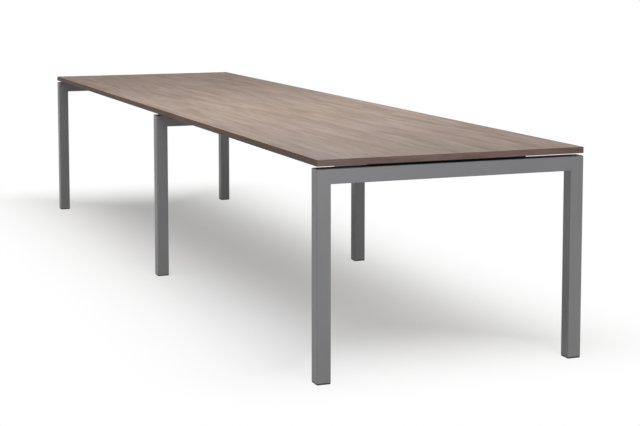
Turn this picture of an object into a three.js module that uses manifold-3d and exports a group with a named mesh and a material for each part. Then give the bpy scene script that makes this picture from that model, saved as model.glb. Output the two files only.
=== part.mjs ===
// Conference table: a long floating top on three portal frames of square tube.
// Millimetres. X runs along the table with the front end at +X, Y across it, Z up from the floor.
// The origin is on the floor under the middle of the top. Left is -Y and right is +Y.
import * as THREE from "three";
import { mergeVertices } from "three/addons/utils/BufferGeometryUtils.js";
import Module from "manifold-3d";

const wasm = await Module();
wasm.setup();

// The top and its place
const TABLE_HEIGHT = 750;
const TOP_LENGTH = 4000;
const TOP_WIDTH = 1000;
const TOP_THICKNESS = 22;
const EDGE_BAND = 2;
const SHADOW_GAP = 10;

// Gap between pieces that are glued, welded, bolted or set on each other
const SEAT_GAP = 0.3;

// Square tube of the portal frames, and how far the middle one stands ahead of the middle of the top
const TUBE_SIDE = 50;
const TUBE_WALL = 2;
const TUBE_CORNER = 2.5;
const MIDDLE_FRAME_X = 45;

// Rectangular tube of the beams between the frames
const BEAM_WIDTH = 30;
const BEAM_HEIGHT = 50;
const BEAM_WALL = 2;
const BEAM_CORNER = 2.5;
const BEAM_SPREAD = 600;

// Folded plates that carry the top and the beams on the crossbars
const PLATE = 3;
const PLATE_BEND = 1;
const CARRIER_FLANGE = 38;
const CARRIER_LIFT = 4;
const CARRIER_BEAM_CLEARANCE = 5;

// Socket-head bolts that hold the carriers to the crossbars
const BOLT_DIAMETER = 8;
const BOLT_LENGTH = 16;
const BOLT_HEAD_DIAMETER = 14;
const BOLT_HEAD_HEIGHT = 5;
const BOLT_KEY = 5;
const BOLT_KEY_DEPTH = 3;
const BOLT_FROM_BEAM = 45;
const BOLT_CLEARANCE = 0.3;

// Pan-head screws that hold the top to the carriers
const TOP_SCREW_DIAMETER = 5;
const TOP_SCREW_LENGTH = 16;
const TOP_SCREW_HEAD_DIAMETER = 10;
const TOP_SCREW_HEAD_HEIGHT = 3;
const TOP_SCREW_KEY = 3;
const TOP_SCREW_KEY_DEPTH = 2;
const TOP_SCREW_SPACING = 360;
const TOP_SCREW_CLEARANCE = 0.3;
const TOP_SCREW_END_ROOM = 1;

// Levelling feet
const FOOT_PLATE = 5;
const FOOT_INSET = 0.5;
const FOOT_FLOOR = 2;
const FOOT_BOSS_WALL = 2;
const KEY_HOLE_DIAMETER = 8;
const LEVELLER_DIAMETER = 10;
const LEVELLER_LENGTH = 34;
const LEVELLER_HEAD_DIAMETER = 18;
const LEVELLER_HEAD_HEIGHT = 4;
const LEVELLER_KEY = 6;
const LEVELLER_KEY_DEPTH = 3;
const LEVELLER_CLEARANCE = 0.3;
const INSERT_HEIGHT = 30;
const INSERT_CLEARANCE = 0.2;
const INSERT_BOSS_CLEARANCE = 0.5;

// Fineness of round shapes
const SHARPEST_CORNER = 0.5;
const CORNER_STEPS = 2;
const ROUND_SIDES = 16;

// Levels and lines that follow from the sizes above
const TOP_UNDERSIDE = TABLE_HEIGHT - TOP_THICKNESS;
const FRAME_TOP = TOP_UNDERSIDE - SHADOW_GAP;
const CROSSBAR_BOTTOM = FRAME_TOP - TUBE_SIDE;
const CROSSBAR_MIDDLE = FRAME_TOP - TUBE_SIDE / 2;
const LEG_X = TOP_LENGTH / 2 - TUBE_SIDE / 2;
const LEG_Y = TOP_WIDTH / 2 - TUBE_SIDE / 2;
const BEAM_Y = BEAM_SPREAD / 2 - BEAM_WIDTH / 2;
const BEAM_INNER_Y = BEAM_SPREAD / 2 - BEAM_WIDTH;
const BEND_OUTSIDE = PLATE_BEND + PLATE;
const CARRIER_BOTTOM = CROSSBAR_BOTTOM + CARRIER_LIFT;
const CARRIER_TOP = TOP_UNDERSIDE - SEAT_GAP;
const BOLT_Y = BEAM_INNER_Y - BOLT_FROM_BEAM;
const BOLT_HOLE_RADIUS = BOLT_DIAMETER / 2 + BOLT_CLEARANCE;
const TOP_SCREW_HOLE_RADIUS = TOP_SCREW_DIAMETER / 2 + TOP_SCREW_CLEARANCE;
const TOP_SCREW_REACH = (BEND_OUTSIDE + CARRIER_FLANGE) / 2;
const CARRIER_FROM_FRAME = TUBE_SIDE / 2 + SEAT_GAP;
const TUBE_END = FOOT_PLATE + SEAT_GAP;
const HEAD_SEAT = FOOT_FLOOR + LEVELLER_CLEARANCE;
const HEAD_CAVITY_TOP = HEAD_SEAT + LEVELLER_HEAD_HEIGHT + LEVELLER_CLEARANCE;
const BOSS_TOP = HEAD_CAVITY_TOP + FOOT_BOSS_WALL;
const HEAD_CAVITY_RADIUS = LEVELLER_HEAD_DIAMETER / 2 + LEVELLER_CLEARANCE;
const BOSS_RADIUS = HEAD_CAVITY_RADIUS + FOOT_BOSS_WALL;
const LEVELLER_BORE_RADIUS = LEVELLER_DIAMETER / 2 + LEVELLER_CLEARANCE;

const FRAMES = [
  { name: "front", x: LEG_X },
  { name: "middle", x: MIDDLE_FRAME_X },
  { name: "rear", x: -LEG_X },
];
const SIDES = [
  { name: "left", y: -1 },
  { name: "right", y: 1 },
];
const HALVES = [
  { name: "front", x: 1 },
  { name: "rear", x: -1 },
];

const finish = (color, roughness, metalness) =>
  new THREE.MeshStandardMaterial({ color, roughness, metalness });
const WOOD_DECOR = finish(0xa99387, 0.5, 0);
const BAND_DECOR = finish(0x7d6a62, 0.5, 0);
const GREY_COAT = finish(0x77777a, 0.5, 0.3);
const BLACK_COAT = finish(0x1b1b1c, 0.55, 0.3);
const BLACK_PLASTIC = finish(0x161616, 0.6, 0);
const ZINC = finish(0xb4b6b9, 0.35, 1);

// Turns a closed geometry into a solid that can be joined and cut.
function solidOf(geometry) {
  const bare = geometry.clone();
  bare.deleteAttribute("normal");
  bare.deleteAttribute("uv");
  const merged = mergeVertices(bare);
  const corners = merged.index.array;
  const kept = [];
  for (let i = 0; i < corners.length; i += 3) {
    const [a, b, c] = corners.slice(i, i + 3);
    if (a !== b && b !== c && c !== a) kept.push(a, b, c);
  }
  const vertProperties = merged.attributes.position.array;
  const triVerts = new Uint32Array(kept);
  return new wasm.Manifold(new wasm.Mesh({ numProp: 3, vertProperties, triVerts }));
}

// Turns a solid back into a geometry.
function geometryOf(solid) {
  const { vertProperties, triVerts } = solid.getMesh();
  const geometry = new THREE.BufferGeometry();
  geometry.setAttribute("position", new THREE.BufferAttribute(vertProperties, 3));
  geometry.setIndex(new THREE.BufferAttribute(triVerts, 1));
  geometry.computeVertexNormals();
  return geometry;
}

function cut(geometry, ...cutters) {
  const whole = solidOf(geometry);
  return geometryOf(cutters.reduce((rest, cutter) => rest.subtract(solidOf(cutter)), whole));
}

function join(geometry, ...others) {
  const first = solidOf(geometry);
  return geometryOf(others.reduce((sum, other) => sum.add(solidOf(other)), first));
}

function part(name, geometry, material, place = [0, 0, 0], turn = [0, 0, 0]) {
  const mesh = new THREE.Mesh(geometry, material);
  mesh.name = name;
  mesh.position.set(...place);
  mesh.rotation.set(...turn);
  return mesh;
}

// A rectangle centred on the origin with round corners, as a shape or as a hole in one.
function roundRectangle(width, height, radius, outline = new THREE.Shape()) {
  const x = width / 2 - radius;
  const y = height / 2 - radius;
  outline.absarc(x, y, radius, 0, Math.PI / 2);
  outline.absarc(-x, y, radius, Math.PI / 2, Math.PI);
  outline.absarc(-x, -y, radius, Math.PI, Math.PI * 1.5);
  outline.absarc(x, -y, radius, Math.PI * 1.5, Math.PI * 2);
  outline.closePath();
  return outline;
}

function rise(outline, height) {
  return new THREE.ExtrudeGeometry(outline, {
    depth: height,
    bevelEnabled: false,
    curveSegments: CORNER_STEPS,
  });
}

const innerCorner = (corner, wall) => Math.max(corner - wall, SHARPEST_CORNER);

// An open-ended tube that stands on the origin.
function tube(width, height, wall, corner, length) {
  const outline = roundRectangle(width, height, corner);
  const hole = [width - 2 * wall, height - 2 * wall, innerCorner(corner, wall)];
  outline.holes.push(roundRectangle(...hole, new THREE.Path()));
  return rise(outline, length);
}

// A round bar along Z, from one height to another.
function bar(radius, from, to, sides = ROUND_SIDES) {
  const geometry = new THREE.CylinderGeometry(radius, radius, to - from, sides);
  return geometry.rotateX(Math.PI / 2).translate(0, 0, (from + to) / 2);
}

// A round solid about Z from a profile of radius and height pairs, from its lower end to its upper end.
function turned(profile) {
  const points = profile.map(([radius, height]) => new THREE.Vector2(radius, height));
  return new THREE.LatheGeometry(points, ROUND_SIDES).rotateX(Math.PI / 2);
}

// A box from its lowest corner to its highest.
function block(from, to) {
  const geometry = new THREE.BoxGeometry();
  const corners = geometry.attributes.position;
  const ends = (value, axis) => (value > 0 ? to[axis] : from[axis]);
  for (let i = 0; i < corners.count; i += 1) {
    corners.setXYZ(i, ends(corners.getX(i), 0), ends(corners.getY(i), 1), ends(corners.getZ(i), 2));
  }
  return geometry;
}

// The stretch between two distances from the middle, on the positive side or the negative one.
const span = (sign, near, far) => (sign > 0 ? [near, far] : [-far, -near]);

// A screw about Z: its head hangs below z = 0 and its shank stands above. A hex key enters the head.
function screw(diameter, length, headDiameter, headHeight, key, keyDepth) {
  const body = turned([
    [0, -headHeight],
    [headDiameter / 2, -headHeight],
    [headDiameter / 2, 0],
    [diameter / 2, 0],
    [diameter / 2, length],
    [0, length],
  ]);
  const keyRadius = key / Math.sqrt(3);
  return cut(body, bar(keyRadius, -2 * headHeight, keyDepth - headHeight, 6));
}

const carrierBolt = () =>
  screw(BOLT_DIAMETER, BOLT_LENGTH, BOLT_HEAD_DIAMETER, BOLT_HEAD_HEIGHT, BOLT_KEY, BOLT_KEY_DEPTH);

const topScrew = () =>
  screw(
    TOP_SCREW_DIAMETER,
    TOP_SCREW_LENGTH,
    TOP_SCREW_HEAD_DIAMETER,
    TOP_SCREW_HEAD_HEIGHT,
    TOP_SCREW_KEY,
    TOP_SCREW_KEY_DEPTH,
  );

const levellingScrew = () =>
  screw(
    LEVELLER_DIAMETER,
    LEVELLER_LENGTH,
    LEVELLER_HEAD_DIAMETER,
    LEVELLER_HEAD_HEIGHT,
    LEVELLER_KEY,
    LEVELLER_KEY_DEPTH,
  );

// The half space beyond the mitre at the corner of a frame, on the crossbar's side or on the leg's.
function mitreCutter(side, onCrossbarSide) {
  const size = 3 * TUBE_SIDE;
  const reach = (size - SEAT_GAP) / 2;
  const box = new THREE.BoxGeometry(size, size, size);
  box.translate(0, 0, onCrossbarSide ? reach : -reach);
  box.rotateX((side * Math.PI) / 4);
  return box.translate(0, side * LEG_Y, CROSSBAR_MIDDLE);
}

// One portal frame: two legs and a crossbar, mitred at the corners.
function portalFrame({ name, x }) {
  const frame = new THREE.Group();
  frame.position.x = x;
  const boltedFaces = HALVES.filter((half) => x !== half.x * LEG_X);
  for (const side of SIDES) {
    const leg = tube(TUBE_SIDE, TUBE_SIDE, TUBE_WALL, TUBE_CORNER, FRAME_TOP - TUBE_END);
    leg.translate(0, side.y * LEG_Y, TUBE_END);
    frame.add(part(`leg_${name}_${side.name}`, cut(leg, mitreCutter(side.y, true)), GREY_COAT));
  }
  const crossbar = tube(TUBE_SIDE, TUBE_SIDE, TUBE_WALL, TUBE_CORNER, TOP_WIDTH);
  crossbar.rotateX(Math.PI / 2).translate(0, TOP_WIDTH / 2, CROSSBAR_MIDDLE);
  const cutters = SIDES.map((side) => mitreCutter(side.y, false));
  for (const half of boltedFaces) {
    for (const side of SIDES) {
      const hole = bar(BOLT_HOLE_RADIUS, -TUBE_WALL, 2 * TUBE_WALL);
      hole.rotateY((-half.x * Math.PI) / 2);
      cutters.push(hole.translate((half.x * TUBE_SIDE) / 2, side.y * BOLT_Y, CROSSBAR_MIDDLE));
    }
  }
  frame.add(part(`crossbar_${name}`, cut(crossbar, ...cutters), GREY_COAT));
  return frame;
}

// What closes a leg: a plug in the tube, a levelling screw through it and the foot that holds the screw.
function levellingFoot(frame, side) {
  const foot = new THREE.Group();
  const name = `${frame.name}_${side.name}`;
  foot.position.set(frame.x, side.y * LEG_Y, 0);

  const plugSide = TUBE_SIDE - 2 * TUBE_WALL - 2 * INSERT_CLEARANCE;
  const plugCorner = innerCorner(TUBE_CORNER, TUBE_WALL);
  const plug = rise(roundRectangle(plugSide, plugSide, plugCorner), INSERT_HEIGHT);
  const recessTop = BOSS_TOP + INSERT_BOSS_CLEARANCE;
  const insert = cut(
    plug.translate(0, 0, TUBE_END),
    bar(BOSS_RADIUS + INSERT_BOSS_CLEARANCE, 0, recessTop),
    bar(LEVELLER_BORE_RADIUS, 0, TUBE_END + 2 * INSERT_HEIGHT),
  );
  foot.add(part(`tube_insert_${name}`, insert, BLACK_PLASTIC));

  const footSide = TUBE_SIDE - 2 * FOOT_INSET;
  const plate = rise(roundRectangle(footSide, footSide, TUBE_CORNER), FOOT_PLATE);
  const glide = join(plate, bar(BOSS_RADIUS, 0, BOSS_TOP));
  const passage = turned([
    [0, -FOOT_FLOOR],
    [KEY_HOLE_DIAMETER / 2, -FOOT_FLOOR],
    [KEY_HOLE_DIAMETER / 2, FOOT_FLOOR],
    [HEAD_CAVITY_RADIUS, FOOT_FLOOR],
    [HEAD_CAVITY_RADIUS, HEAD_CAVITY_TOP],
    [LEVELLER_BORE_RADIUS, HEAD_CAVITY_TOP],
    [LEVELLER_BORE_RADIUS, 2 * BOSS_TOP],
    [0, 2 * BOSS_TOP],
  ]);
  foot.add(part(`glide_foot_${name}`, cut(glide, passage), BLACK_PLASTIC));

  const shoulder = HEAD_SEAT + LEVELLER_HEAD_HEIGHT;
  foot.add(part(`levelling_screw_${name}`, levellingScrew(), ZINC, [0, 0, shoulder]));
  return foot;
}

// A folded plate whose back stands on x = 0 and whose flange runs along +X under the top.
function carrier() {
  const web = CARRIER_TOP - CARRIER_BOTTOM;
  const outline = new THREE.Shape();
  outline.moveTo(0, -web);
  outline.lineTo(PLATE, -web);
  outline.lineTo(PLATE, -BEND_OUTSIDE);
  outline.absarc(BEND_OUTSIDE, -BEND_OUTSIDE, PLATE_BEND, Math.PI, Math.PI / 2, true);
  outline.lineTo(CARRIER_FLANGE, -PLATE);
  outline.lineTo(CARRIER_FLANGE, 0);
  outline.absarc(BEND_OUTSIDE, -BEND_OUTSIDE, BEND_OUTSIDE, Math.PI / 2, Math.PI);
  outline.closePath();
  const flangeLength = 2 * (BEAM_INNER_Y - CARRIER_BEAM_CLEARANCE);
  const fold = rise(outline, flangeLength);
  fold.rotateX(Math.PI / 2).translate(0, flangeLength / 2, CARRIER_TOP);
  const back = block(
    [0, -BEAM_SPREAD / 2, CARRIER_BOTTOM],
    [PLATE, BEAM_SPREAD / 2, CARRIER_TOP - BEND_OUTSIDE],
  );
  const holes = SIDES.flatMap((side) => {
    const boltHole = bar(BOLT_HOLE_RADIUS, -PLATE, 2 * PLATE).rotateY(Math.PI / 2);
    const screwHole = bar(TOP_SCREW_HOLE_RADIUS, CARRIER_TOP - 2 * PLATE, CARRIER_TOP + PLATE);
    boltHole.translate(0, side.y * BOLT_Y, CROSSBAR_MIDDLE);
    screwHole.translate(TOP_SCREW_REACH, (side.y * TOP_SCREW_SPACING) / 2, 0);
    return [boltHole, screwHole];
  });
  return cut(join(fold, back), ...holes);
}

// Where the carriers of one half stand, and the way their flanges point.
function carrierEnds(half) {
  return [
    { name: `${half.name}_outer`, x: half.x * (LEG_X - CARRIER_FROM_FRAME), into: -half.x },
    { name: `${half.name}_inner`, x: MIDDLE_FRAME_X + half.x * CARRIER_FROM_FRAME, into: half.x },
  ];
}

// What carries one half of the top: a carrier on each of its frames, their bolts and screws, and beams.
function bay(half) {
  const group = new THREE.Group();
  const ends = carrierEnds(half);
  const seat = PLATE + SEAT_GAP;
  for (const end of ends) {
    const facing = end.into > 0 ? 0 : Math.PI;
    group.add(part(`carrier_${end.name}`, carrier(), BLACK_COAT, [end.x, 0, 0], [0, 0, facing]));
    for (const side of SIDES) {
      const boltPlace = [end.x + end.into * seat, side.y * BOLT_Y, CROSSBAR_MIDDLE];
      const boltTurn = [0, (-end.into * Math.PI) / 2, 0];
      group.add(part(`carrier_bolt_${end.name}_${side.name}`, carrierBolt(), ZINC, boltPlace, boltTurn));
      const screwPlace = [
        end.x + end.into * TOP_SCREW_REACH,
        (side.y * TOP_SCREW_SPACING) / 2,
        CARRIER_TOP - seat,
      ];
      group.add(part(`top_screw_${end.name}_${side.name}`, topScrew(), ZINC, screwPlace));
    }
  }
  const [start, stop] = ends.map((end) => end.x + end.into * seat).sort((a, b) => a - b);
  for (const side of SIDES) {
    const beam = tube(BEAM_HEIGHT, BEAM_WIDTH, BEAM_WALL, BEAM_CORNER, stop - start);
    beam.rotateY(Math.PI / 2);
    const place = [start, side.y * BEAM_Y, CARRIER_TOP - BEAM_HEIGHT / 2];
    group.add(part(`beam_${half.name}_${side.name}`, beam, GREY_COAT, place));
  }
  return group;
}

// One half of the top: a board that ends over the middle frame, with pilot holes below, and its edge bands.
function topHalf(half) {
  const group = new THREE.Group();
  const boardEnd = TOP_LENGTH / 2 - EDGE_BAND;
  const boardSide = TOP_WIDTH / 2 - EDGE_BAND;
  const [low, high] = [MIDDLE_FRAME_X, half.x * boardEnd].sort((a, b) => a - b);
  const [bandLow, bandHigh] = span(half.x, boardEnd, TOP_LENGTH / 2);
  const board = block([low, -boardSide, TOP_UNDERSIDE], [high, boardSide, TABLE_HEIGHT]);
  const depth = TOP_SCREW_LENGTH - PLATE + TOP_SCREW_END_ROOM;
  const pilots = carrierEnds(half).flatMap((end) =>
    SIDES.map((side) => {
      const pilot = bar(TOP_SCREW_HOLE_RADIUS, TOP_UNDERSIDE - depth, TOP_UNDERSIDE + depth);
      return pilot.translate(end.x + end.into * TOP_SCREW_REACH, (side.y * TOP_SCREW_SPACING) / 2, 0);
    }),
  );
  group.add(part(`top_panel_${half.name}`, cut(board, ...pilots), WOOD_DECOR));
  const endBand = block(
    [bandLow, -TOP_WIDTH / 2, TOP_UNDERSIDE],
    [bandHigh, TOP_WIDTH / 2, TABLE_HEIGHT],
  );
  group.add(part(`end_band_${half.name}`, endBand, BAND_DECOR));
  for (const side of SIDES) {
    const [inner, outer] = span(side.y, boardSide, TOP_WIDTH / 2);
    const sideBand = block([low, inner, TOP_UNDERSIDE], [high, outer, TABLE_HEIGHT]);
    group.add(part(`side_band_${half.name}_${side.name}`, sideBand, BAND_DECOR));
  }
  return group;
}

const table = new THREE.Group();
for (const frame of FRAMES) {
  table.add(portalFrame(frame));
  for (const side of SIDES) table.add(levellingFoot(frame, side));
}
for (const half of HALVES) {
  table.add(bay(half));
  table.add(topHalf(half));
}

export default table;
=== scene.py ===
"""Looks of a conference table: fine meshes, finishes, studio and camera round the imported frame.

Sizes are in metres. X runs along the table with its front end at +X, Y runs across it with the left
side at -Y, and Z is up from the floor.
"""

import logging
import math
from abc import ABC, abstractmethod
from collections.abc import Callable, Iterable, Sequence
from dataclasses import dataclass
from enum import Enum, auto
from functools import cache
from typing import TypeVar

import bmesh
import bpy
from bmesh.types import BMEdge, BMesh, BMFace, BMVert
from mathutils import Color, Matrix, Vector


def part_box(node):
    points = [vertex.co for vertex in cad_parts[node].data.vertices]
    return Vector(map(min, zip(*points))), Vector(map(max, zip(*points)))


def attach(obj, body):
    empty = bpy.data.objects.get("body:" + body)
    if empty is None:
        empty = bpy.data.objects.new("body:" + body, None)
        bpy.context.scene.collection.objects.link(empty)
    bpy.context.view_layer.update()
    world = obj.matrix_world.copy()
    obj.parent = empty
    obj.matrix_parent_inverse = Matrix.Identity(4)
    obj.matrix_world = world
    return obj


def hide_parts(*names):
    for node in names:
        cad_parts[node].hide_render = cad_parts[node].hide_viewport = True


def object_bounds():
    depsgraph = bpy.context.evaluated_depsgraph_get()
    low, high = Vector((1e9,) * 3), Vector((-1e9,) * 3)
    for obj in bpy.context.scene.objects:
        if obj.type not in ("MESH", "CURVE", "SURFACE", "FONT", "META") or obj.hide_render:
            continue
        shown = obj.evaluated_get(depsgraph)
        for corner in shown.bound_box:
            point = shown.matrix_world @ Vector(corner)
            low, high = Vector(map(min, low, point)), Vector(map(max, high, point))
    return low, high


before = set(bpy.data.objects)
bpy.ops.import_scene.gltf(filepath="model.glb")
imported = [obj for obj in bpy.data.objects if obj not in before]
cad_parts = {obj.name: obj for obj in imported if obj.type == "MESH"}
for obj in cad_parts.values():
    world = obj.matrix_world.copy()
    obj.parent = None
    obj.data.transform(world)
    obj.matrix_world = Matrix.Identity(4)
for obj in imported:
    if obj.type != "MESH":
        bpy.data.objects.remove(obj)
CAD_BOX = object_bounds()

LOG = logging.getLogger("conference_table")
TABLE_BODY = "table"

MM = 0.001
SAME_POINT = 0.001 * MM
SHARP_FOLD = math.radians(32.0)
HALF_TURN = math.pi
QUARTER_TURN = math.pi / 2
FULL_TURN = 2 * math.pi
MATRIX_SIZE = 4
SQUARE = 4
HEXAGON = 6
LOOP_POINTS = 48
CORNER_STEPS = LOOP_POINTS // SQUARE - 1
UNIT = 1.0
OPAQUE = 1.0
FULL_BYTE = 255

Part = TypeVar("Part")
Socket = bpy.types.NodeSocket
Feed = Socket | float | tuple
Span = tuple[float, float]
Place = tuple[float, float, float]
Shade = tuple[float, float, float, float]
NOWHERE: Place = (0.0, 0.0, 0.0)
RIGHTWARD: Place = (0.0, 1.0, 0.0)
UPWARD: Place = (0.0, 0.0, 1.0)
WHOLE: Span = (0.0, 1.0)
MID_NOISE: Span = (0.3, 0.7)


class Slot(Enum):
    """The material slots, one named by each finish."""

    WOOD = "wood_decor"
    BAND = "edge_band"
    GREY = "grey_coat"
    BLACK = "black_coat"
    PLASTIC = "black_plastic"
    ZINC = "zinc"


class Choice(Enum):
    """A choice that is a word in the names of nodes, bodies and pieces."""

    def __str__(self) -> str:
        """Writes the choice's word."""
        return self.name.lower()


class Half(Choice):
    """The two halves of the table, by the sign of X."""

    FRONT = 1
    REAR = -1


class Side(Choice):
    """The two long sides of the table, by the sign of Y."""

    LEFT = -1
    RIGHT = 1


class Station(Choice):
    """The three portal frames along the table."""

    FRONT = auto()
    MIDDLE = auto()
    REAR = auto()


class BayEnd(Choice):
    """The two ends of a bay between portal frames, by the sign of the way from the middle frame."""

    OUTER = 1
    INNER = -1


class Run(Enum):
    """The way a wood print runs on a piece, along the table or across it."""

    ALONG = auto()
    ACROSS = auto()


class Ease(Enum):
    """How a stretched value goes from one end of its span to the other."""

    STRAIGHT = "LINEAR"
    SOFT = "SMOOTHSTEP"


class LoopShape(Enum):
    """The outlines that a lofted piece is drawn through."""

    ROUND = auto()
    SQUARE = auto()
    HEXAGON = auto()


def once(parts: Iterable[Part]) -> list[Part]:
    """Lists parts in the order that they come, each once."""
    return list(dict.fromkeys(parts))


def ends_of(edges: Iterable[BMEdge]) -> list[BMVert]:
    """Lists the points at the ends of edges, each once."""
    return once(end for edge in edges for end in edge.verts)


def edges_of(points: Iterable[BMVert]) -> list[BMEdge]:
    """Lists the edges that join the given points to each other, each once."""
    kept = dict.fromkeys(points)
    return once(edge for point in kept for edge in point.link_edges if edge.other_vert(point) in kept)


def edges_in(parts: Iterable[object]) -> list[BMEdge]:
    """Picks the edges out of what an operator gives back."""
    return [part for part in parts if isinstance(part, BMEdge)]


def runs_along(edge: BMEdge) -> bool:
    """Tells whether an edge runs along the table."""
    return abs(edge.verts[0].co.x - edge.verts[1].co.x) > SAME_POINT


def above_foot(node: str, height: float = 0.0) -> Vector:
    """Finds the point at a height above the middle of a node's lower side.

    Args:
        node: The node.
        height: The height.

    Returns:
        The point.
    """
    low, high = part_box(node)
    middle = (low + high) / 2
    return Vector((middle.x, middle.y, low.z + height))


def put_in_scene(name: str, data: bpy.types.ID) -> bpy.types.Object:
    """Makes an object and puts it in the scene.

    Args:
        name: The object's name.
        data: Its mesh, light or camera.

    Returns:
        The object.
    """
    item = bpy.data.objects.new(name, data)
    bpy.context.scene.collection.objects.link(item)
    return item


def linear(shade: str) -> Shade:
    """Turns six hexadecimal digits into linear red, green and blue, with full cover."""
    written = Color([part / FULL_BYTE for part in bytes.fromhex(shade)])
    return (*written.from_srgb_to_scene_linear(), OPAQUE)


class NodeSheet:
    """A node tree of a material or the world, with short calls for adding and feeding nodes."""

    def __init__(self, tree: bpy.types.NodeTree) -> None:
        """Takes a material's or world's own node tree to draw on."""
        self.tree = tree

    def add(self, kind: str, feeds: dict[str | int, Feed] | None = None,
            **settings: object) -> bpy.types.Node:
        """Adds one node.

        Args:
            kind: The node's type name.
            feeds: What each input gets, by its name or number.
            **settings: The node's own options.

        Returns:
            The new node.
        """
        node = self.tree.nodes.new(kind)
        for setting, value in settings.items():
            setattr(node, setting, value)
        for socket, feed in (feeds or {}).items():
            self.feed(node.inputs[socket], feed)
        return node

    def feed(self, socket: Socket, feed: Feed) -> None:
        """Links an output to an input, or sets the input's own value.

        Args:
            socket: The input.
            feed: An output of another node, or a plain value.
        """
        if isinstance(feed, bpy.types.NodeSocket):
            self.tree.links.new(feed, socket)
        else:
            socket.default_value = feed

    def sum(self, operation: str, first: Feed, second: Feed) -> Socket:
        """Works out one sum of two numbers."""
        return self.add("ShaderNodeMath", {0: first, 1: second}, operation=operation).outputs[0]

    def vector(self, operation: str, first: Feed, second: Feed = NOWHERE) -> Socket:
        """Works out one sum of two vectors."""
        return self.add("ShaderNodeVectorMath", {0: first, 1: second}, operation=operation).outputs["Vector"]

    def seen_directly(self) -> Socket:
        """Tells rays that show the surroundings from rays that light them.

        Returns:
            An output of 1 for camera, mirror and glass rays, and 0 for all others.
        """
        path = self.add("ShaderNodeLightPath").outputs
        mirrored = self.sum("MAXIMUM", path["Is Camera Ray"], path["Is Glossy Ray"])
        return self.sum("MAXIMUM", mirrored, path["Is Transmission Ray"])


class FinishSheet(NodeSheet):
    """The node tree of one finish, with the patterns that the finishes share."""

    def __init__(self, name: str) -> None:
        """Starts a material with its shader and the piece's own coordinates.

        Args:
            name: The material's name.
        """
        self.material = bpy.data.materials.new(name)
        self.material.use_nodes = True
        super().__init__(self.material.node_tree)
        self.shader = self.tree.nodes["Principled BSDF"]
        self.place = self.add("ShaderNodeTexCoord").outputs["Object"]

    def dress(self, feeds: dict[str, Feed]) -> None:
        """Feeds the shader's inputs, by their names."""
        for socket, feed in feeds.items():
            self.feed(self.shader.inputs[socket], feed)

    def stretched(self, marks: Place) -> Socket:
        """Stretches the piece's coordinates to so many marks in a metre along X, Y and Z."""
        return self.add("ShaderNodeMapping", {"Vector": self.place, "Scale": marks}).outputs["Vector"]

    def noise(self, where: Socket, detail: float, scale: float = UNIT, fray: float = 0.5,
              twist: float = 0.0) -> Socket:
        """Adds cloudy noise, from 0 to 1 and mostly near the middle."""
        feeds = {"Vector": where, "Scale": scale, "Detail": detail, "Roughness": fray, "Distortion": twist}
        return self.add("ShaderNodeTexNoise", feeds).outputs["Fac"]

    def span(self, value: Feed, taken: Span, given: Span = WHOLE, ease: Ease = Ease.STRAIGHT) -> Socket:
        """Stretches a value from one span to another and holds it there."""
        feeds = {0: value, 1: taken[0], 2: taken[1], 3: given[0], 4: given[1]}
        return self.add("ShaderNodeMapRange", feeds, interpolation_type=ease.value).outputs[0]

    def blend(self, share: Feed, first: Feed, second: Feed) -> Socket:
        """Blends two colours by the share of the second one."""
        return self.add("ShaderNodeMix", {0: share, 6: first, 7: second}, data_type="RGBA").outputs[2]

    def shades(self, value: Feed, shades: Sequence[str]) -> Socket:
        """Turns a value into a row of shades.

        Args:
            value: The value.
            shades: The shades, evenly spaced.

        Returns:
            The colour.
        """
        node = self.add("ShaderNodeValToRGB", {0: value})
        stops = node.color_ramp.elements
        while len(stops) < len(shades):
            stops.new(UNIT)
        for number, (stop, shade) in enumerate(zip(stops, shades)):
            stop.position = number / (len(shades) - 1)
            stop.color = linear(shade)
        return node.outputs[0]

    def bump(self, height: Socket, depth: float) -> Socket:
        """Makes a relief from a height, whose full rise measures the depth."""
        return self.add("ShaderNodeBump", {"Height": height, "Distance": depth}).outputs[0]

    def show(self, surface: Socket) -> None:
        """Shows another surface in place of the shader."""
        self.tree.nodes.remove(self.shader)
        self.feed(self.tree.nodes["Material Output"].inputs["Surface"], surface)


@dataclass(frozen=True)
class Finish(ABC):
    """A surface that a piece can be given."""

    name: str
    slot: Slot

    @abstractmethod
    def draw(self, sheet: FinishSheet) -> None:
        """Draws the finish on its node sheet.

        Args:
            sheet: The sheet of the finish's material.
        """


@cache
def material_of(finish: Finish) -> bpy.types.Material:
    """Makes a finish's material, once.

    Args:
        finish: The finish.

    Returns:
        Its material.
    """
    sheet = FinishSheet(finish.name)
    finish.draw(sheet)
    return sheet.material


@dataclass(frozen=True)
class GrainLayer:
    """One scale of a wood print, by how many of its marks fit in a metre."""

    along: float
    across: float
    detail: float
    twist: float
    fray: float = 0.55

    def draw(self, sheet: FinishSheet, run: Run) -> Socket:
        """Draws the layer.

        Args:
            sheet: The sheet of the finish's material.
            run: The way the print runs.

        Returns:
            A value from 0 to 1.
        """
        if run is Run.ALONG:
            marks = (self.along, self.across, self.across)
        else:
            marks = (self.across, self.along, self.across)
        return sheet.noise(sheet.stretched(marks), self.detail, fray=self.fray, twist=self.twist)


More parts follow.
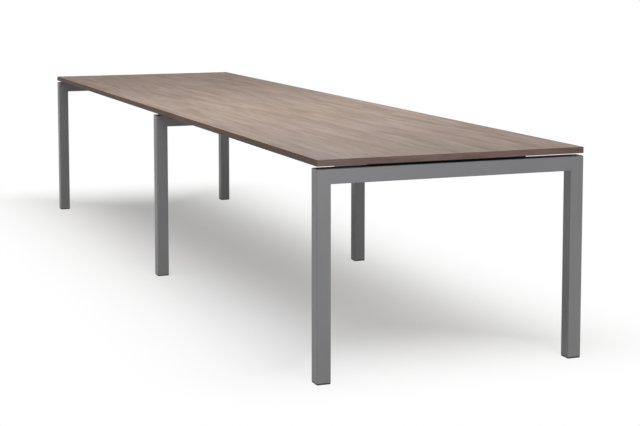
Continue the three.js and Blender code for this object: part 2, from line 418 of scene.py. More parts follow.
@dataclass(frozen=True)
class PrintedWood(Finish):
    """A matt wood print: soft figure, streaks, fine fibres and short dark pores on a drifting ground."""

    run: Run
    dark: str
    ground: str
    light: str
    rosy: str
    ashen: str
    figure: GrainLayer = GrainLayer(along=1.3, across=9.0, detail=3.0, twist=0.7)
    streaks: GrainLayer = GrainLayer(along=3.0, across=38.0, detail=5.0, twist=0.4)
    fibres: GrainLayer = GrainLayer(along=9.0, across=330.0, detail=3.0, twist=0.1)
    pores: GrainLayer = GrainLayer(along=15.0, across=460.0, detail=3.0, twist=0.0)
    drift: GrainLayer = GrainLayer(along=0.6, across=2.6, detail=2.0, twist=0.8)
    figure_share: float = 0.28
    streak_share: float = 0.46
    fibre_share: float = 0.26
    tone_span: Span = (0.40, 0.60)
    drift_span: Span = (0.38, 0.62)
    tint_share: float = 0.35
    pore_span: Span = (0.57, 0.63)
    pore_share: float = 0.50
    pore_depth: float = 0.06 * MM
    smooth: float = 0.50
    rough: float = 0.62
    sheen_level: float = 0.10

    def draw(self, sheet: FinishSheet) -> None:
        """Draws the print, its sheen and its pores.

        Args:
            sheet: The sheet of the finish's material.
        """
        fibres = self.fibres.draw(sheet, self.run)
        figure = sheet.sum("MULTIPLY", self.figure.draw(sheet, self.run), self.figure_share)
        streaks = sheet.sum("MULTIPLY", self.streaks.draw(sheet, self.run), self.streak_share)
        threads = sheet.sum("MULTIPLY", fibres, self.fibre_share)
        tone = sheet.span(sheet.sum("ADD", sheet.sum("ADD", figure, streaks), threads), self.tone_span)
        print_colour = sheet.shades(tone, (self.dark, self.ground, self.light))
        drift = sheet.span(self.drift.draw(sheet, self.run), self.drift_span)
        tint = sheet.blend(drift, linear(self.ashen), linear(self.rosy))
        tinted = sheet.blend(self.tint_share, print_colour, tint)
        pores = sheet.span(self.pores.draw(sheet, self.run), self.pore_span)
        pored = sheet.blend(sheet.sum("MULTIPLY", pores, self.pore_share), tinted, linear(self.dark))
        relief = sheet.sum("SUBTRACT", fibres, pores)
        sheet.dress({
            "Base Color": pored,
            "Specular IOR Level": self.sheen_level,
            "Roughness": sheet.span(fibres, MID_NOISE, (self.smooth, self.rough)),
            "Normal": sheet.bump(relief, self.pore_depth),
        })


@dataclass(frozen=True)
class PowderCoat(Finish):
    """Baked powder paint: an even shade with a fine orange peel and a soft sheen."""

    shade: str
    pale: str
    smooth: float
    rough: float
    clouds: float = 3.0
    cloud_detail: float = 3.0
    cloud_span: Span = (0.35, 0.65)
    specks: float = 2600.0
    speck_detail: float = 2.0
    speck_span: Span = (0.42, 0.62)
    mottle_share: float = 0.5
    peel: float = 620.0
    peel_detail: float = 2.0
    peel_depth: float = 0.05 * MM

    def draw(self, sheet: FinishSheet) -> None:
        """Draws the paint.

        Args:
            sheet: The sheet of the finish's material.
        """
        clouds = sheet.span(sheet.noise(sheet.place, self.cloud_detail, self.clouds), self.cloud_span)
        specks = sheet.span(sheet.noise(sheet.place, self.speck_detail, self.specks), self.speck_span)
        peel = sheet.noise(sheet.place, self.peel_detail, self.peel)
        mottle = sheet.sum("MULTIPLY", sheet.sum("ADD", clouds, specks), self.mottle_share)
        sheet.dress({
            "Base Color": sheet.blend(mottle, linear(self.shade), linear(self.pale)),
            "Roughness": sheet.span(clouds, WHOLE, (self.smooth, self.rough)),
            "Normal": sheet.bump(peel, self.peel_depth),
        })


@dataclass(frozen=True)
class MouldedPlastic(Finish):
    """Black plastic from an eroded mould, paler where it is scuffed."""

    shade: str
    scuffed: str
    scuffs: float = 160.0
    scuff_detail: float = 5.0
    scuff_span: Span = (0.55, 0.8)
    smooth: float = 0.48
    rough: float = 0.66
    grain: float = 1900.0
    grain_detail: float = 3.0
    grain_depth: float = 0.03 * MM

    def draw(self, sheet: FinishSheet) -> None:
        """Draws the plastic.

        Args:
            sheet: The sheet of the finish's material.
        """
        scuffs = sheet.span(sheet.noise(sheet.place, self.scuff_detail, self.scuffs), self.scuff_span)
        grain = sheet.noise(sheet.place, self.grain_detail, self.grain)
        sheet.dress({
            "Base Color": sheet.blend(scuffs, linear(self.shade), linear(self.scuffed)),
            "Roughness": sheet.span(scuffs, WHOLE, (self.smooth, self.rough)),
            "Normal": sheet.bump(grain, self.grain_depth),
        })


@dataclass(frozen=True)
class ZincPlate(Finish):
    """Zinc plated steel, with the faint yellow and blue clouds of its sealing."""

    cool: str
    warm: str
    metal: float = 1.0
    clouds: float = 240.0
    cloud_detail: float = 3.0
    cloud_span: Span = (0.35, 0.65)
    smooth: float = 0.28
    rough: float = 0.42
    draw_marks: float = 2400.0
    mark_detail: float = 2.0
    mark_depth: float = 0.01 * MM

    def draw(self, sheet: FinishSheet) -> None:
        """Draws the plating.

        Args:
            sheet: The sheet of the finish's material.
        """
        clouds = sheet.span(sheet.noise(sheet.place, self.cloud_detail, self.clouds), self.cloud_span)
        marks = sheet.noise(sheet.place, self.mark_detail, self.draw_marks)
        sheet.dress({
            "Base Color": sheet.blend(clouds, linear(self.cool), linear(self.warm)),
            "Metallic": self.metal,
            "Roughness": sheet.span(marks, MID_NOISE, (self.smooth, self.rough)),
            "Normal": sheet.bump(marks, self.mark_depth),
        })


BOARD_DECOR = PrintedWood("board decor", Slot.WOOD, Run.ALONG,
                          dark="7b6858", ground="988477", light="ae9c90", rosy="a28a7f", ashen="92857c")
# The side and end bands are one edging. The side band's darker shades are painted shade on the long sides,
# and the end band's lighter shades are painted light on the ends.
SHADED_SIDE_BAND_DECOR = PrintedWood("side band decor", Slot.BAND, Run.ALONG,
                              dark="4b372c", ground="604b40", light="755d50", rosy="6a5044", ashen="5d4c42")
LIT_END_BAND_DECOR = PrintedWood("lit end band decor", Slot.BAND, Run.ACROSS,
                             dark="533f39", ground="695650", light="7c6861", rosy="725b55", ashen="645651")
GREY_PAINT = PowderCoat("grey powder coat", Slot.GREY, shade="6c6c6e", pale="747476", smooth=0.34, rough=0.42)
BLACK_PAINT = PowderCoat("black powder coat", Slot.BLACK, shade="101013", pale="19191c",
                         smooth=0.42, rough=0.52)
FOOT_PLASTIC = MouldedPlastic("foot plastic", Slot.PLASTIC, shade="161617", scuffed="2b2b2c")
# The strip's near black is painted shade: it darkens the crossbar's top in the gap under the boards.
SHADE_STRIP_PLASTIC = MouldedPlastic("shade strip plastic", Slot.PLASTIC, shade="0b0b0c", scuffed="161617")
SCREW_ZINC = ZincPlate("screw zinc", Slot.ZINC, cool="b4b8bd", warm="c3bfb2")


@dataclass(frozen=True)
class Tag:
    """What a finished piece is called, the nodes that it stands for, its finish and its body."""

    name: str
    nodes: tuple[str, ...]
    finish: Finish
    body: str = TABLE_BODY


@dataclass(frozen=True)
class Loop:
    """One outline of a lofted piece, by its width across the flats, its height and its corners' radius."""

    width: float
    height: float
    shape: LoopShape = LoopShape.ROUND
    corner: float = 0.0


class Blank:
    """A piece on the bench: one mesh in the making, and the steps that the pieces have in common."""

    def __init__(self, pattern: BMesh | None = None) -> None:
        """Starts with an empty mesh or a copy of a pattern."""
        self.bm: BMesh = pattern.copy() if pattern else bmesh.new()

    def block(self, low: Vector, high: Vector) -> None:
        """Adds a square block.

        Args:
            low: Its lowest corner.
            high: Its highest corner.
        """
        corners = bmesh.ops.create_cube(self.bm, size=UNIT)["verts"]
        bmesh.ops.scale(self.bm, vec=high - low, verts=corners)
        bmesh.ops.translate(self.bm, vec=(low + high) / 2, verts=corners)

    def rectangle(self, width: float, depth: float, corner: float, steps: int) -> list[BMEdge]:
        """Adds the outline of a rectangle with round corners, flat round the origin.

        Args:
            width: Its size along X.
            depth: Its size along Y.
            corner: The radius of its corners.
            steps: The steps in each corner.

        Returns:
            The outline's edges.
        """
        corners = bmesh.ops.create_grid(self.bm, x_segments=1, y_segments=1, size=UNIT / 2)["verts"]
        bmesh.ops.scale(self.bm, vec=(width, depth, UNIT), verts=corners)
        rounded = bmesh.ops.bevel(self.bm, geom=corners, offset=corner, segments=steps, profile=0.5,
                                  affect="VERTICES", material=-1)["verts"]
        bmesh.ops.delete(self.bm, geom=rounded[0].link_faces[:], context="FACES_ONLY")
        return edges_of(rounded)

    def circle(self, radius: float, points: int) -> list[BMEdge]:
        """Adds the outline of a circle, flat round the origin."""
        return edges_of(bmesh.ops.create_circle(self.bm, segments=points, radius=radius)["verts"])

    def loop(self, loop: Loop) -> list[BMEdge]:
        """Adds one outline of a loft, flat round the origin.

        Args:
            loop: The outline.

        Returns:
            Its edges.
        """
        if loop.shape is LoopShape.SQUARE:
            return self.rectangle(loop.width, loop.width, loop.corner, CORNER_STEPS)
        if loop.shape is LoopShape.ROUND:
            return self.circle(loop.width / 2, LOOP_POINTS)
        sides = self.circle(loop.width / 2 / math.cos(HALF_TURN / HEXAGON), HEXAGON)
        cut = bmesh.ops.subdivide_edges(self.bm, edges=sides, cuts=LOOP_POINTS // HEXAGON - 1)
        return edges_of(ends_of(edges_in(cut["geom"])))

    def loft(self, loops: Sequence[Loop], closed: bool) -> list[list[BMEdge]]:
        """Draws a skin through outlines, spaced well apart at first so that a flat ring can't twist.

        Args:
            loops: The outlines, in order.
            closed: Whether the skin runs on from the last outline to the first.

        Returns:
            The edges of each outline.
        """
        spacing = max(loop.width for loop in loops)
        drawn = [self.loop(loop) for loop in loops]
        for place, edges in enumerate(drawn):
            self.shift(edges, (0.0, 0.0, place * spacing))
        pairs = list(zip(drawn, drawn[1:]))
        if closed:
            pairs.append((drawn[-1], drawn[0]))
        for first, second in pairs:
            bmesh.ops.bridge_loops(self.bm, edges=first + second)
        for place, (edges, loop) in enumerate(zip(drawn, loops)):
            self.shift(edges, (0.0, 0.0, loop.height - place * spacing))
        return drawn

    def cap(self, edges: list[BMEdge]) -> None:
        """Closes an outline with one flat face."""
        bmesh.ops.contextual_create(self.bm, geom=edges)

    def pull(self, edges: list[BMEdge]) -> list[BMEdge]:
        """Pulls new walls out of edges and gives the new edges, for the caller to move."""
        return edges_in(bmesh.ops.extrude_edge_only(self.bm, edges=edges)["geom"])

    def shift(self, edges: list[BMEdge], way: Sequence[float]) -> None:
        """Moves edges by a vector."""
        bmesh.ops.translate(self.bm, vec=way, verts=ends_of(edges))

    def edges_where(self, test: Callable[[Vector], bool]) -> list[BMEdge]:
        """Finds the edges whose ends both pass a test."""
        return [edge for edge in self.bm.edges if all(test(end.co) for end in edge.verts)]

    def ease(self, edges: list[BMEdge], radius: float, steps: int) -> None:
        """Rounds edges in a number of steps."""
        bmesh.ops.bevel(self.bm, geom=edges, offset=radius, segments=steps, profile=0.5, affect="EDGES",
                        material=-1)

    def outward(self) -> None:
        """Merges points that coincide and turns every face outwards."""
        bmesh.ops.remove_doubles(self.bm, verts=self.bm.verts[:], dist=SAME_POINT)
        bmesh.ops.recalc_face_normals(self.bm, faces=self.bm.faces[:])

    def thicken(self, wall: float) -> None:
        """Gives a skin a wall on its inner side."""
        bmesh.ops.solidify(self.bm, geom=self.bm.faces[:], thickness=wall)

    def place(self, matrix: Matrix) -> None:
        """Moves the whole piece into its place."""
        bmesh.ops.transform(self.bm, matrix=matrix, verts=self.bm.verts[:])

    def finish(self, tag: Tag) -> None:
        """Turns the blank into a piece of the table, dressed and set on its body.

        Args:
            tag: What the piece is called and stands for, and its finish.
        """
        mesh = bpy.data.meshes.new(tag.name)
        self.bm.to_mesh(mesh)
        self.bm.free()
        mesh.shade_smooth()
        mesh.set_sharp_from_angle(angle=SHARP_FOLD)
        mesh.materials.append(material_of(tag.finish))
        piece = put_in_scene(tag.name, mesh)
        shading = piece.modifiers.new("even_shading", "WEIGHTED_NORMAL")
        shading.keep_sharp = True
        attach(piece, tag.body)
        if tag.nodes:
            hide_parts(*tag.nodes)
        LOG.info("%s: %d faces, on %s, in %s", tag.name, len(mesh.polygons), tag.body, tag.finish.name)


@dataclass
class TableTop:
    """The floating top: two boards that meet over the middle frame, and the bands round their edges."""

    arris: float = 1.0 * MM
    arris_steps: int = 4
    joint_ease: float = 0.3 * MM
    joint_steps: int = 2

    def build(self) -> None:
        """Builds the boards and the bands of both halves."""
        for half in Half:
            self.board(half)
            self.end_band(half)
            for side in Side:
                self.side_band(half, side)

    def board(self, half: Half) -> None:
        """Builds one board, with its edges eased where the two boards meet.

        Args:
            half: The half of the table.
        """
        node = f"top_panel_{half}"
        low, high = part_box(node)
        inner_end = min(low.x, high.x, key=abs)
        blank = Blank()
        blank.block(low, high)
        joint = blank.edges_where(lambda point: abs(point.x - inner_end) < SAME_POINT)
        blank.ease(joint, self.joint_ease, self.joint_steps)
        blank.outward()
        blank.finish(Tag(f"board_{half}", (node,), BOARD_DECOR))

    def end_band(self, half: Half) -> None:
        """Builds the band on one end, rounded on its outer edges and corners.

        Args:
            half: The half of the table.
        """
        node = f"end_band_{half}"
        low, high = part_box(node)
        outer = max(low.x, high.x, key=abs)
        blank = Blank()
        blank.block(low, high)
        face = blank.edges_where(lambda point: abs(point.x - outer) < SAME_POINT)
        ends = [edge for edge in blank.bm.edges if runs_along(edge)]
        blank.ease(face + ends, self.arris, self.arris_steps)
        blank.outward()
        blank.finish(Tag(f"end_edging_{half}", (node,), LIT_END_BAND_DECOR))

    def side_band(self, half: Half, side: Side) -> None:
        """Builds the band on one long side of a board, rounded on its outer edges.

        Args:
            half: The half of the table.
            side: The side of the table.
        """
        node = f"side_band_{half}_{side}"
        low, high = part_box(node)
        outer = max(low.y, high.y, key=abs)
        blank = Blank()
        blank.block(low, high)
        face = blank.edges_where(lambda point: abs(point.y - outer) < SAME_POINT)
        blank.ease([edge for edge in face if runs_along(edge)], self.arris, self.arris_steps)
        blank.outward()
        blank.finish(Tag(f"side_edging_{half}_{side}", (node,), SHADED_SIDE_BAND_DECOR))


@dataclass
class PortalFrame:
    """One frame of square tube: two legs and a crossbar, welded and ground flush, with a black strip on top
    that paints the shade of the gap under the boards.
    """

    station: Station
    wall: float = 2.0 * MM
    corner: float = 2.5 * MM
    corner_steps: int = 5
    ground_edge: float = 0.8 * MM
    ground_steps: int = 3
    ground_fold: float = math.radians(30.0)
    strip: float = 1.5 * MM
    strip_margin: float = 2.0 * MM
    strip_edge: float = 0.4 * MM
    strip_steps: int = 2

    @property
    def nodes(self) -> tuple[str, ...]:
        """The nodes of the left leg, the right leg and the crossbar."""
        return (*(f"leg_{self.station}_{side}" for side in Side), f"crossbar_{self.station}")

    @property
    def top(self) -> float:
        """The height of the crossbar's upper face."""
        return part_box(self.nodes[-1])[1].z

    def build(self) -> None:
        """Builds the frame and lays its strip of painted shade."""
        self.tube()
        self.cover_strip()

    def tube(self) -> None:
        """Builds the frame as one bent run of tube, so no joint shows."""
        low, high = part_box(self.nodes[0])
        blank = Blank()
        foot = blank.rectangle(high.x - low.x, high.y - low.y, self.corner, self.corner_steps)
        blank.shift(foot, above_foot(self.nodes[0]))
        first_mitre = blank.pull(foot)
        for point in ends_of(first_mitre):
            point.co.z = self.top - (point.co.y - low.y)
        second_mitre = blank.pull(first_mitre)
        for point in ends_of(second_mitre):
            point.co.y = -point.co.y
        far_foot = blank.pull(second_mitre)
        for point in ends_of(far_foot):
            point.co.z = low.z
        blank.outward()
        mitres = first_mitre + second_mitre
        ground = [edge for edge in mitres if edge.calc_face_angle_signed() > self.ground_fold]
        blank.ease(ground, self.ground_edge, self.ground_steps)
        blank.thicken(self.wall)
        blank.finish(Tag(f"portal_{self.station}", self.nodes, GREY_PAINT))

    def cover_strip(self) -> None:
        """Lays the thin black strip along the crossbar. It is painted shade that shows the deep shade of the
        gap below the boards as a dark line.
        """
        low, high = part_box(self.nodes[0])
        width = high.x - low.x - 2 * self.strip_margin
        length = -2 * (low.y + self.strip_margin)
        blank = Blank()
        laid = blank.rectangle(width, length, self.strip_margin, self.corner_steps)
        blank.shift(laid, ((low.x + high.x) / 2, 0.0, self.top))
        upper = blank.pull(laid)
        blank.shift(upper, (0.0, 0.0, self.strip))
        blank.cap(laid)
        blank.cap(upper)
        blank.outward()
        blank.ease(upper, self.strip_edge, self.strip_steps)
        blank.finish(Tag(f"cover_strip_{self.station}", (), SHADE_STRIP_PLASTIC))


@dataclass(frozen=True)
class SocketScrew:
    """A screw with a round head, a hexagon socket and a thread whose profile is in shares of its pitch."""

    thread: float
    pitch: float
    length: float
    head: float
    head_height: float
    key: float
    key_depth: float
    edge: float = 0.4 * MM
    thread_depth: float = 0.613
    crest: float = 0.125
    root: float = 0.25
    steps: int = 24
    spare_turns: int = 2

    @cache
    def pattern(self) -> BMesh:
        """Models the screw once, with its head below the origin and its shank above.

        Returns:
            The mesh that each screw of this kind is a copy of.
        """
        blank = Blank()
        face = -self.head_height
        neck = self.thread - 2 * self.thread_depth * self.pitch
        loops = blank.loft((
            Loop(self.key, face + self.key_depth, LoopShape.HEXAGON),
            Loop(self.key, face, LoopShape.HEXAGON),
            Loop(self.head - 2 * self.edge, face),
            Loop(self.head, face + self.edge),
            Loop(self.head, 0.0),
            Loop(neck, 0.0),
            Loop(neck, self.edge / 2),
        ), closed=False)
        blank.cap(loops[0])
        self.cut_thread(blank, loops[-1])
        blank.outward()
        return blank.bm

    def cut_thread(self, blank: Blank, neck: list[BMEdge]) -> None:
        """Winds the thread on from the neck.

        Args:
            blank: The screw in the making.
            neck: The edges where the neck ends.
        """
        outside = self.thread / 2
        inside = outside - self.thread_depth * self.pitch
        flank = (UNIT - self.crest - self.root) / 2
        start = -self.pitch
        profile = ((inside, 0.0), (inside, self.root), (outside, self.root + flank),
                   (outside, self.root + flank + self.crest), (inside, UNIT))
        points = [blank.bm.verts.new((reach, 0.0, start + part * self.pitch)) for reach, part in profile]
        edges = [blank.bm.edges.new(pair) for pair in zip(points, points[1:])]
        turns = math.ceil(self.length / self.pitch) + self.spare_turns
        before = set(blank.bm.faces)
        bmesh.ops.spin(blank.bm, geom=points + edges, cent=NOWHERE, axis=UPWARD,
                       dvec=(0.0, 0.0, self.pitch / self.steps), angle=FULL_TURN * turns,
                       steps=self.steps * turns, use_merge=False)
        wound = [face for face in blank.bm.faces if face not in before]
        bmesh.ops.remove_doubles(blank.bm, verts=once(point for face in wound for point in face.verts),
                                 dist=SAME_POINT)
        run_out = self.trim(blank, before, self.edge, lower=True)
        tip = self.trim(blank, before, self.length, lower=False)
        bmesh.ops.bridge_loops(blank.bm, edges=neck + run_out)
        bmesh.ops.holes_fill(blank.bm, edges=tip, sides=0)

    def trim(self, blank: Blank, kept: set[BMFace], height: float, lower: bool) -> list[BMEdge]:
        """Cuts the thread off square.

        Args:
            blank: The screw in the making.
            kept: The faces that aren't thread.
            height: Where the cut is.
            lower: Whether the part below the cut goes.

        Returns:
            The edges of the cut.
        """
        wound = [face for face in blank.bm.faces if face not in kept]
        edges = once(edge for face in wound for edge in face.edges)
        cut = bmesh.ops.bisect_plane(blank.bm, geom=ends_of(edges) + edges + wound, dist=SAME_POINT,
                                     plane_co=(0.0, 0.0, height), plane_no=UPWARD,
                                     clear_inner=lower, clear_outer=not lower)
        return edges_in(cut["geom_cut"])

    def drive(self, tag: Tag, seat: Vector, turn: Matrix = Matrix.Identity(MATRIX_SIZE)) -> None:
        """Sets one screw in its place.

        Args:
            tag: What the screw is called and stands for.
            seat: Where its shank meets its head.
            turn: How it is turned from head down.
        """
        blank = Blank(self.pattern())
        blank.place(Matrix.Translation(seat) @ turn)
        blank.finish(tag)


@dataclass
class Bay:
    """What carries one board between two portal frames: two beams and two folded plates with their screws."""

    half: Half
    beam_wall: float = 2.0 * MM
    beam_corner: float = 2.5 * MM
    beam_steps: int = 5
    plate: float = 3.0 * MM
    bend: float = 4.0 * MM
    bend_steps: int = 5
    flange_clearance: float = 5.0 * MM
    plate_corner: float = 5.0 * MM
    plate_steps: int = 4
    carrier_bolt: SocketScrew = SocketScrew(thread=8.0 * MM, pitch=1.25 * MM, length=16.0 * MM,
                                            head=14.0 * MM, head_height=5.0 * MM,
                                            key=5.0 * MM, key_depth=3.0 * MM)
    top_screw: SocketScrew = SocketScrew(thread=5.0 * MM, pitch=0.8 * MM, length=16.0 * MM,
                                         head=10.0 * MM, head_height=3.0 * MM,
                                         key=3.0 * MM, key_depth=2.0 * MM)

    def build(self) -> None:
        """Builds the beams, the plates and their screws."""
        for side in Side:
            self.beam(side)
        for end in BayEnd:
            self.carrier(end)
            for side in Side:
                self.fix(end, side)

    def beam(self, side: Side) -> None:
        """Builds one beam of rectangular tube.

        Args:
            side: The side of the table.
        """
        node = f"beam_{self.half}_{side}"
        low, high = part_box(node)
        size = high - low
        middle = (low + high) / 2
        blank = Blank()
        start = blank.rectangle(size.z, size.y, self.beam_corner, self.beam_steps)
        blank.shift(blank.pull(start), (0.0, 0.0, size.x))
        blank.outward()
        blank.thicken(self.beam_wall)
        lay_down = Matrix.Rotation(QUARTER_TURN, MATRIX_SIZE, "Y")
        blank.place(Matrix.Translation((low.x, middle.y, middle.z)) @ lay_down)
        blank.finish(Tag(f"beam_tube_{self.half}_{side}", (node,), GREY_PAINT))

    def carrier(self, end: BayEnd) -> None:
        """Builds one folded plate: a back on the crossbar and a flange under the board.

        Args:
            end: The end of the bay.
        """
        node = f"carrier_{self.half}_{end}"
        low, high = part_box(node)
        size = high - low
        beam_face = min(abs(edge.y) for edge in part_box(f"beam_{self.half}_left"))
        flange = beam_face - self.flange_clearance
        blank = Blank()
        stations = (low.y, -flange, flange, high.y)
        foot_points = [blank.bm.verts.new((0.0, station, 0.0)) for station in stations]
        foot = [blank.bm.edges.new(pair) for pair in zip(foot_points, foot_points[1:])]
        back_top = blank.pull(foot)
        blank.shift(back_top, (0.0, 0.0, size.z - self.bend))
        fold = [edge for edge in back_top if all(abs(tip.co.y) < flange + SAME_POINT for tip in edge.verts)]
        bent = bmesh.ops.spin(blank.bm, geom=fold + ends_of(fold), cent=(self.bend, 0.0, size.z - self.bend),
                              axis=RIGHTWARD, angle=QUARTER_TURN, steps=self.bend_steps)["geom_last"]
        flange_edge = blank.pull(edges_in(bent))
        blank.shift(flange_edge, (size.x - self.bend, 0.0, 0.0))
        blank.outward()
        tips = [point for point in blank.bm.verts if point.is_boundary and len(point.link_edges) == 2]
        bmesh.ops.bevel(blank.bm, geom=tips, offset=self.plate_corner, segments=self.plate_steps, profile=0.5,
                        affect="VERTICES", material=-1)
        blank.thicken(self.plate)
        into = -self.half.value * end.value
        turn = Matrix.Rotation(0.0 if into > 0 else HALF_TURN, MATRIX_SIZE, "Z")
        back = low.x if into > 0 else high.x
        blank.place(Matrix.Translation((back, 0.0, low.z)) @ turn)
        blank.finish(Tag(f"carrier_plate_{self.half}_{end}", (node,), BLACK_PAINT))

    def fix(self, end: BayEnd, side: Side) -> None:
        """Sets the bolt that holds a plate to its crossbar, and the screw that holds the board to the plate.

        Args:
            end: The end of the bay.
            side: The side of the table.
        """
        place = f"{self.half}_{end}_{side}"
        bolt = f"carrier_bolt_{place}"
        low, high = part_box(bolt)
        shank_way = self.half.value * end.value
        seat = (low + high) / 2
        seat.x = (low.x if shank_way > 0 else high.x) + shank_way * self.carrier_bolt.head_height
        turn = Matrix.Rotation(shank_way * QUARTER_TURN, MATRIX_SIZE, "Y")
        self.carrier_bolt.drive(Tag(f"frame_bolt_{place}", (bolt,), SCREW_ZINC), seat, turn)
        screw = f"top_screw_{place}"
        seat = above_foot(screw, self.top_screw.head_height)
        self.top_screw.drive(Tag(f"board_screw_{place}", (screw,), SCREW_ZINC), seat)


@dataclass
class LevellingFoot:
    """The foot of one leg: a plug in the tube, a screw through it and a glide on the screw's head."""

    station: Station
    side: Side
    plug_corner: float = 0.5 * MM
    plug_edge: float = 0.5 * MM
    plug_recess: float = 23.6 * MM
    plug_recess_height: float = 3.8 * MM
    bore: float = 10.6 * MM
    glide_corner: float = 2.5 * MM
    glide_edge: float = 0.6 * MM
    glide_plate: float = 5.0 * MM
    boss: float = 22.6 * MM
    key_hole: float = 8.0 * MM
    key_hole_height: float = 2.0 * MM
    cavity: float = 18.6 * MM
    cavity_top: float = 6.6 * MM
    screw: SocketScrew = SocketScrew(thread=10.0 * MM, pitch=1.5 * MM, length=34.0 * MM,
                                     head=18.0 * MM, head_height=4.0 * MM,
                                     key=6.0 * MM, key_depth=3.0 * MM)

    @property
    def leg(self) -> str:
        """The leg's word in node, body and piece names."""
        return f"{self.station}_{self.side}"

    def build(self) -> None:
        """Builds the plug, the screw and the glide."""
        self.plug()
        self.levelling_screw()
        self.glide()

    def plug(self) -> None:
        """Builds the plug in the tube's end, which is the screw's nut."""
        node = f"tube_insert_{self.leg}"
        low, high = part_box(node)
        width, _, height = high - low
        inner = width - 2 * self.plug_edge
        blank = Blank()
        blank.loft((
            Loop(self.plug_recess, 0.0),
            Loop(self.plug_recess, self.plug_recess_height),
            Loop(self.bore, self.plug_recess_height),
            Loop(self.bore, height),
            Loop(inner, height, LoopShape.SQUARE, self.plug_corner),
            Loop(width, height - self.plug_edge, LoopShape.SQUARE, self.plug_corner),
            Loop(width, self.plug_edge, LoopShape.SQUARE, self.plug_corner),
            Loop(inner, 0.0, LoopShape.SQUARE, self.plug_corner),
        ), closed=True)
        blank.outward()
        blank.place(Matrix.Translation(above_foot(node)))
        blank.finish(Tag(f"leg_plug_{self.leg}", (node,), FOOT_PLASTIC))

    def levelling_screw(self) -> None:
        """Sets the levelling screw, head down."""
        node = f"levelling_screw_{self.leg}"
        tag = Tag(f"jack_screw_{self.leg}", (node,), SCREW_ZINC, f"screw_{self.leg}")
        self.screw.drive(tag, above_foot(node, self.screw.head_height))

    def glide(self) -> None:
        """Builds the glide: a plate with a key hole, a hollow for the screw's head and a boss on top."""
        node = f"glide_foot_{self.leg}"
        low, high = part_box(node)
        width, _, height = high - low
        inner = width - 2 * self.glide_edge
        blank = Blank()
        blank.loft((
            Loop(self.key_hole, 0.0),
            Loop(inner, 0.0, LoopShape.SQUARE, self.glide_corner),
            Loop(width, self.glide_edge, LoopShape.SQUARE, self.glide_corner),
            Loop(width, self.glide_plate - self.glide_edge, LoopShape.SQUARE, self.glide_corner),
            Loop(inner, self.glide_plate, LoopShape.SQUARE, self.glide_corner),
            Loop(self.boss, self.glide_plate),
            Loop(self.boss, height),
            Loop(self.bore, height),
            Loop(self.bore, self.cavity_top),
            Loop(self.cavity, self.cavity_top),
            Loop(self.cavity, self.key_hole_height),
            Loop(self.key_hole, self.key_hole_height),
        ), closed=True)
        blank.outward()
        blank.place(Matrix.Translation(above_foot(node)))
        blank.finish(Tag(f"glide_{self.leg}", (node,), FOOT_PLASTIC, f"foot_{self.leg}"))


def hang_lamp(light: bpy.types.Light, shade: str, place: Vector, away: Vector) -> None:
    """Hangs a lamp.

    Args:
        light: Its light.
        shade: The light's colour.
        place: Where it hangs.
        away: The way to it from what it lights.
    """
    light.color = linear(shade)[:len(light.color)]
    lamp = put_in_scene(light.name, light)
    lamp.location = place
    lamp.rotation_euler = away.to_track_quat("Z", "Y").to_euler()


@dataclass(frozen=True)
class SoftLight:
    """A broad far lamp, by where it hangs and the light that it puts on the floor."""

    name: str
    to_front: float
    to_left: float
    floor_light: float
    spread: float
    shade: str
    distance: float = 12.0

    def hang(self) -> None:
        """Hangs the lamp and turns it to the table."""
        source = Vector((math.tan(self.to_front), -math.tan(self.to_left), UNIT)).normalized()
        light = bpy.data.lights.new(self.name, "SUN")
        light.angle = self.spread
        light.energy = self.floor_light * math.pi / source.z
        hang_lamp(light, self.shade, source * self.distance, source)


@dataclass(frozen=True)
class SoftBox:
    """A square lamp that hangs close to the table, by the place that it faces."""

    name: str
    place: Place
    facing: Place
    size: float
    power: float
    shade: str

    def hang(self) -> None:
        """Hangs the lamp and turns it to the place that it faces."""
        light = bpy.data.lights.new(self.name, "AREA")
        light.shape = "SQUARE"
        light.size = self.size
        light.energy = self.power
        place = Vector(self.place)
        hang_lamp(light, self.shade, place, place - Vector(self.facing))


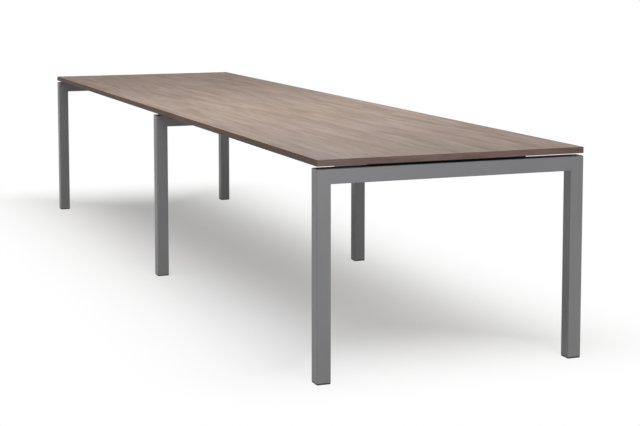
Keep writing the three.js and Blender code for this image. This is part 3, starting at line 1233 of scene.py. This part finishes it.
@dataclass
class Studio:
    """A white studio: a floor that keeps the shadow, two broad lamps, four close ones and a little fill."""

    overhead: SoftLight = SoftLight("overhead_light", to_front=math.radians(18.0), to_left=math.radians(8.0),
                                    floor_light=0.275, spread=math.radians(50.0), shade="fffaf3")
    front: SoftLight = SoftLight("front_light", to_front=math.radians(68.0), to_left=math.radians(14.0),
                                 floor_light=0.092, spread=math.radians(34.0), shade="fffaf3")
    over_table: SoftBox = SoftBox("over_table_light", place=(0.3, 0.0, 2.2), facing=(0.3, 0.0, 0.75),
                                  size=1.0, power=15.8, shade="fcfdff")
    near_left: SoftBox = SoftBox("near_left_light", place=(1.6, -1.0, 2.0), facing=(1.4, -0.3, 0.75),
                                 size=0.8, power=7.1, shade="e4efff")
    low_front: SoftBox = SoftBox("low_front_light", place=(5.5, 0.3, 1.0), facing=(2.0, 0.0, 0.4),
                                 size=1.8, power=42.0, shade="f4f9ff")
    low_left: SoftBox = SoftBox("low_left_light", place=(0.0, -3.2, 0.7), facing=(0.0, 0.0, 0.4),
                                size=1.6, power=10.5, shade="fffcf8")
    fill: float = 0.08
    floor_reach: float = 60.0
    floor_shade: str = "f4f4f4"
    # The floor's lift is painted light: a glow mixed into the table's shadow for seen rays, set round a box
    # shifted to where the shadow falls.
    floor_lift: float = 0.36
    shadow_place: Place = (-0.3, 0.0, 0.0)
    shadow_reach: Span = (-0.5, 0.6)
    white: Shade = (1.0, 1.0, 1.0, OPAQUE)
    white_level: float = 1.0

    def build(self) -> None:
        """Builds the floor, the surrounding light and the lamps."""
        self.floor()
        self.surroundings()
        lamps = (self.overhead, self.front, self.over_table, self.near_left, self.low_front, self.low_left)
        for lamp in lamps:
            lamp.hang()

    def floor(self) -> None:
        """Lays the floor, which is seen white away from the table and can be seen through from below."""
        bm = bmesh.new()
        bmesh.ops.create_grid(bm, x_segments=1, y_segments=1, size=self.floor_reach / 2)
        mesh = bpy.data.meshes.new("studio_floor")
        bm.to_mesh(mesh)
        bm.free()
        mesh.materials.append(self.floor_paint())
        put_in_scene("studio_floor", mesh)

    def floor_paint(self) -> bpy.types.Material:
        """Mixes the floor's paint: matt with the table's shadow on it nearby, plain white further off, and
        between them a glow that paints light into the shadow, least where its core falls and more towards its
        edges.

        Returns:
            The floor's material.
        """
        sheet = FinishSheet("studio floor")
        seen = sheet.seen_directly()
        matt = sheet.add("ShaderNodeBsdfDiffuse", {"Color": linear(self.floor_shade)}).outputs[0]
        glow = sheet.add("ShaderNodeEmission", {"Color": self.white, "Strength": self.white_level}).outputs[0]
        lift = (self.floor_lift, self.white_level)
        # The whiteness paints light into the shadow, rising from the shadow box's middle towards its edges
        # and out to plain white.
        whiteness = sheet.span(self.from_shadow(sheet), self.shadow_reach, lift, Ease.SOFT)
        shown = sheet.sum("MULTIPLY", seen, whiteness)
        faded = sheet.add("ShaderNodeMixShader", {0: shown, 1: matt, 2: glow}).outputs[0]
        clear = sheet.add("ShaderNodeBsdfTransparent").outputs[0]
        below = sheet.add("ShaderNodeNewGeometry").outputs["Backfacing"]
        both = sheet.add("ShaderNodeMixShader", {0: below, 1: faded, 2: clear}).outputs[0]
        sheet.show(both)
        return sheet.material

    def from_shadow(self, sheet: FinishSheet) -> Socket:
        """Measures how far a place on the floor is outside the table's shadow, less than nothing inside it.

        Args:
            sheet: The sheet of the floor's material.

        Returns:
            The distance.
        """
        low, high = CAD_BOX
        half_size = ((high[0] - low[0]) / 2, (high[1] - low[1]) / 2, 0.0)
        place = sheet.vector("SUBTRACT", sheet.place, self.shadow_place)
        beyond = sheet.vector("SUBTRACT", sheet.vector("ABSOLUTE", place), half_size)
        outside = sheet.vector("MAXIMUM", beyond)
        away = sheet.add("ShaderNodeVectorMath", {0: outside}, operation="LENGTH").outputs["Value"]
        along, across, _ = sheet.add("ShaderNodeSeparateXYZ", {0: beyond}).outputs
        inside = sheet.sum("MINIMUM", sheet.sum("MAXIMUM", along, across), 0.0)
        return sheet.sum("ADD", away, inside)

    def surroundings(self) -> None:
        """Surrounds the table with a little even light, and with white where the surroundings are seen."""
        world = bpy.data.worlds.new("studio")
        world.use_nodes = True
        bpy.context.scene.world = world
        sheet = NodeSheet(world.node_tree)
        sheet.tree.nodes.clear()
        light, shown = (sheet.add("ShaderNodeBackground", {"Color": self.white, "Strength": level}).outputs[0]
                        for level in (self.fill, self.white_level))
        both = sheet.add("ShaderNodeMixShader", {0: sheet.seen_directly(), 1: light, 2: shown}).outputs[0]
        sheet.add("ShaderNodeOutputWorld", {"Surface": both})


@dataclass
class PhotoCamera:
    """The photograph's view: from the front left, a little above the top."""

    place: Place = (6.6568, -2.3306, 1.3886)
    heading: float = math.radians(21.577)
    tilt: float = math.radians(-5.680)
    lens: float = 87.248
    sensor: float = 36.0
    shift_up: float = -0.15

    def build(self) -> None:
        """Sets up the camera and makes it the scene's own."""
        camera = bpy.data.cameras.new("photo_camera")
        camera.lens = self.lens
        camera.sensor_width = self.sensor
        camera.shift_y = self.shift_up
        level = math.cos(self.tilt)
        look = Vector((-math.cos(self.heading) * level, math.sin(self.heading) * level, math.sin(self.tilt)))
        holder = put_in_scene("photo_camera", camera)
        holder.location = self.place
        holder.rotation_euler = look.to_track_quat("-Z", "Y").to_euler()
        bpy.context.scene.camera = holder


def main() -> None:
    """Builds the camera, the studio and the table."""
    logging.basicConfig(level=logging.INFO, format="%(name)s: %(message)s")
    bpy.context.scene.view_settings.view_transform = "Standard"
    PhotoCamera().build()
    Studio().build()
    TableTop().build()
    for station in Station:
        PortalFrame(station).build()
        for side in Side:
            LevellingFoot(station, side).build()
    for half in Half:
        Bay(half).build()


if __name__ == "__main__":
    main()
